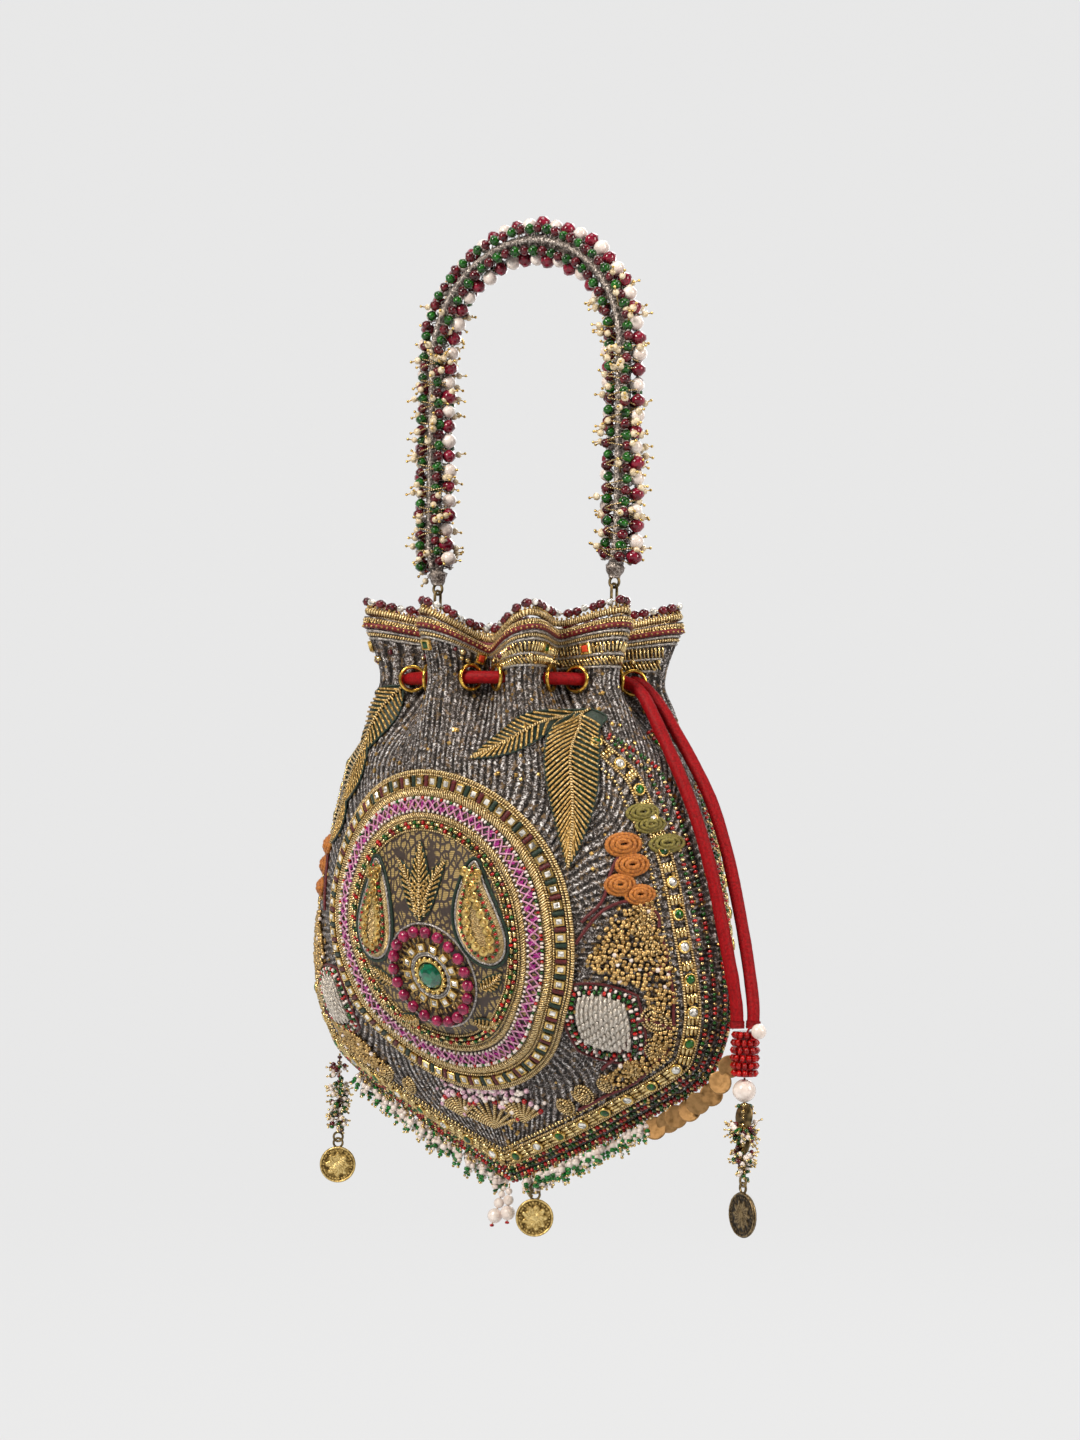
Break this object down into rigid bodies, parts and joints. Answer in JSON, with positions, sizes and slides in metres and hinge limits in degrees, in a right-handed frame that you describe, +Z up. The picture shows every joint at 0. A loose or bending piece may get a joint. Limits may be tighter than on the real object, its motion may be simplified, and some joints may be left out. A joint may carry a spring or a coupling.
{
  "type": "potli bag",
  "caption": "Gathered pouch with an embroidered body, a drawstring through eyelets, a stiff beaded handle and hanging coin charms.",
  "frame": {"origin": "the place that bears on a hand or hook, the underside of the top of the handle", "axes": "+Z up as the bag hangs, -Y towards the embroidered front, +X towards the tassel"},
  "size_m": [0.2162, 0.1336, 0.406],
  "materials": {
    "embroidered_cloth": "couched silver-grey ribs on dark cloth",
    "gold_braid": "metal-thread braid",
    "maroon_glass": "opaque glass beads, gloss",
    "gold_metal": "bright gilt brass",
    "gilt_setting": "gilt foil over moulded settings, glass and mirror stones",
    "aged_brass": "dull aged brass",
    "red_satin": "satin tube",
    "pearl": "pearl coat",
    "silver_plait": "plaited metal thread",
    "green_glass": "opaque glass, gloss",
    "pink_bead": "satin gloss beads",
    "red_bead": "opaque glass seed beads",
    "brocade": "brown brocade with gold thread"
  },
  "bodies": {
    "handle": {"handle_core": "silver_plait", "handle_beads_front_outer": "green_glass", "handle_beads_front_inner": "maroon_glass", "handle_beads_side_outer": "pearl", "handle_beads_side_inner": "maroon_glass", "handle_beads_back": "green_glass"},
    "links": {"link_left": "aged_brass", "link_right": "aged_brass"},
    "bag": {"bag_shell": "embroidered_cloth", "rim_braid": "gold_braid", "rim_beads": "maroon_glass", "seam_beads": "red_bead", "hem_fringe_left": "pearl", "hem_fringe_right": "pearl", "border_front": "gilt_setting", "border_back": "gilt_setting", "medallion_patch": "brocade", "medallion_settings": "gilt_setting", "rosette_beads": "pink_bead", "rosette_stone": "green_glass", "paisley_left": "gold_braid", "paisley_right": "gold_braid", "drawstring_neck": "red_satin", "drawstring_tail_front": "red_satin", "drawstring_tail_back": "red_satin", "rim_ring_left": "aged_brass", "rim_ring_right": "aged_brass", "middle_loop": "aged_brass", "tassel_cap": "red_bead", "edge_coin_1": "aged_brass", "edge_coin_2": "aged_brass", "edge_coin_3": "aged_brass", "edge_coin_4": "aged_brass", "edge_coin_5": "aged_brass", "eyelet_01": "gold_metal", "eyelet_02": "gold_metal", "eyelet_03": "gold_metal", "eyelet_04": "gold_metal", "eyelet_05": "gold_metal", "eyelet_06": "gold_metal", "eyelet_07": "gold_metal", "eyelet_08": "gold_metal", "eyelet_09": "gold_metal", "eyelet_10": "gold_metal", "eyelet_11": "gold_metal", "eyelet_12": "gold_metal", "eyelet_13": "gold_metal", "eyelet_14": "gold_metal", "eyelet_15": "gold_metal", "eyelet_16": "gold_metal", "eyelet_17": "gold_metal", "eyelet_18": "gold_metal", "eyelet_19": "gold_metal", "eyelet_20": "gold_metal"},
    "left_strand": {"left_strand": "pearl"},
    "left_coin": {"left_coin": "aged_brass"},
    "pearl_drop": {"pearl_drop": "pearl"},
    "middle_coin": {"middle_coin": "aged_brass"},
    "tassel_strand": {"tassel_strand": "pearl"},
    "tassel_coin": {"tassel_coin": "aged_brass"}
  },
  "joints": [
    {"name": "links_swing", "type": "hinge", "parent": "handle", "child": "links", "pos_m": [0, 0, -0.13145], "axis": [1, 0, 0], "range_deg": [-35, 35]},
    {"name": "bag_swing", "type": "hinge", "parent": "links", "child": "bag", "pos_m": [0, 0, -0.14037], "axis": [1, 0, 0], "range_deg": [-35, 35]},
    {"name": "left_strand_swing", "type": "hinge", "parent": "bag", "child": "left_strand", "pos_m": [-0.09002, 0, -0.32178], "axis": [1, 0, 0], "range_deg": [-30, 30]},
    {"name": "left_coin_swing", "type": "hinge", "parent": "left_strand", "child": "left_coin", "pos_m": [-0.09002, 0, -0.35833], "axis": [0.5446, -0.8387, 0], "range_deg": [-30, 30]},
    {"name": "pearl_drop_swing", "type": "hinge", "parent": "bag", "child": "pearl_drop", "pos_m": [-0.00234, 0, -0.3676], "axis": [1, 0, 0], "range_deg": [-30, 30]},
    {"name": "middle_coin_swing", "type": "hinge", "parent": "bag", "child": "middle_coin", "pos_m": [0.01049, 0, -0.3704], "axis": [0.5446, -0.8387, 0], "range_deg": [-25, 25]},
    {"name": "tassel_swing", "type": "hinge", "parent": "bag", "child": "tassel_strand", "pos_m": [0.108, -0.004, -0.31775], "axis": [1, 0, 0], "range_deg": [-30, 30]},
    {"name": "tassel_coin_swing", "type": "hinge", "parent": "tassel_strand", "child": "tassel_coin", "pos_m": [0.108, -0.004, -0.3583], "axis": [-0.4226, -0.9063, 0], "range_deg": [-30, 30]}
  ]
}
